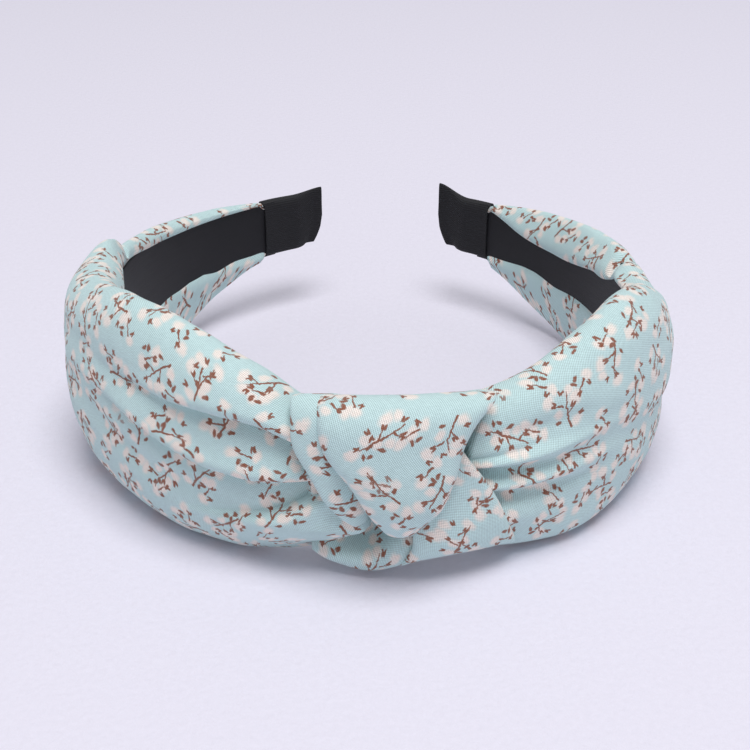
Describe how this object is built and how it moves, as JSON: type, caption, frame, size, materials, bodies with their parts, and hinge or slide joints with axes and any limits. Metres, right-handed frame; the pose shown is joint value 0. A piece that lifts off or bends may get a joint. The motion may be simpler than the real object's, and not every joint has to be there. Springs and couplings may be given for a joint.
{
  "type": "knotted headband",
  "caption": "Springy hoop headband with wide floral-print cloth wings that meet in a tied knot on the crown, a satin lining and ribbon-sleeved tips.",
  "frame": {"origin": "on the surface that the headband lies on, under the middle of its outline", "axes": "+Z is the axis of the hoop, across its width; -Y is the crown with the knot; the open tips point to +Y; X runs from one side of the head to the other"},
  "size_m": [0.1486, 0.1438, 0.0536],
  "materials": {
    "hoop_plastic": "satin moulded plastic",
    "lining_satin": "smooth satin ribbon with a soft sheen",
    "bonding_tape": "thin double-sided tape",
    "ribbed_ribbon": "ribbed ribbon, ribs along the hoop",
    "printed_cotton": "plain-weave cotton with a blossom and twig print"
  },
  "bodies": {
    "root": {"hoop_core": "hoop_plastic", "lining_ribbon": "lining_satin", "lining_tape": "bonding_tape", "tip_sleeve_left": "ribbed_ribbon", "tip_sleeve_right": "ribbed_ribbon", "wing_left": "printed_cotton", "wing_right": "printed_cotton", "knot_bundle": "printed_cotton", "knot_lower_loop": "printed_cotton", "knot_side_pleat": "printed_cotton", "knot_fan": "printed_cotton", "knot_front_panel": "printed_cotton"}
  },
  "joints": []
}
